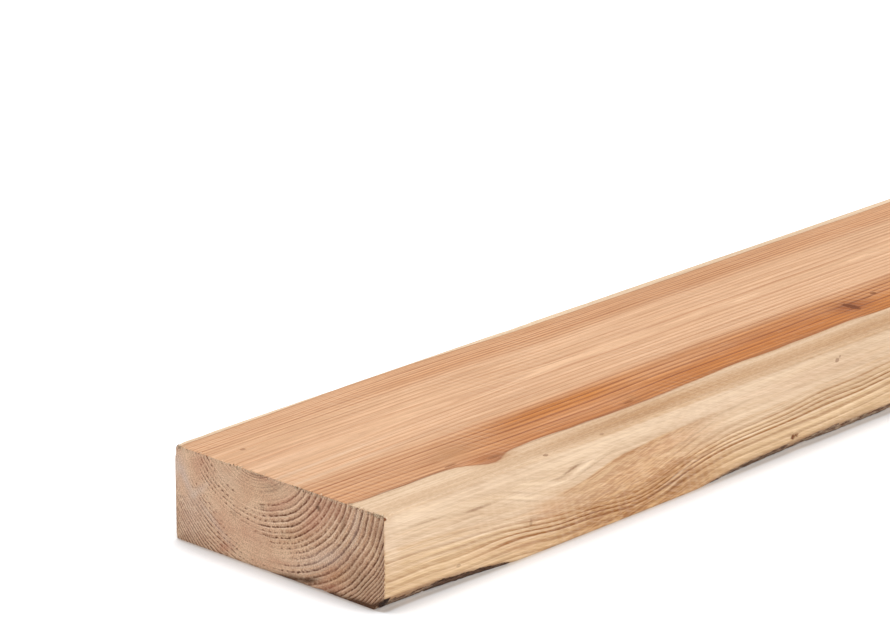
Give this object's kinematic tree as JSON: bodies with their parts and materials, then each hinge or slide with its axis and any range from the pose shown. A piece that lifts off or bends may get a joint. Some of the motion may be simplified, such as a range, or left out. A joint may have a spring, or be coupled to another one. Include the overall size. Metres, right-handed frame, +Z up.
{
  "type": "timber lumber plank",
  "caption": "Rough-sawn softwood plank of rectangular section, cross-cut square at both ends, with one waney lower arris that still carries bark.",
  "frame": {"origin": "middle of the plank's bottom face, on the floor it lies on", "axes": "+X along the length, away from the end that the picture shows; +Y across the width, from the side face with the waney arris to the other; +Z up through the thickness"},
  "size_m": [2.4, 0.148, 0.051],
  "materials": {
    "sawn_softwood": "rough sawn and untreated, cream sapwood on the waney side and orange-brown heartwood inside",
    "bark": "ragged dark brown inner bark, dry and matt"
  },
  "bodies": {
    "root": {"plank": "sawn_softwood"}
  },
  "joints": []
}
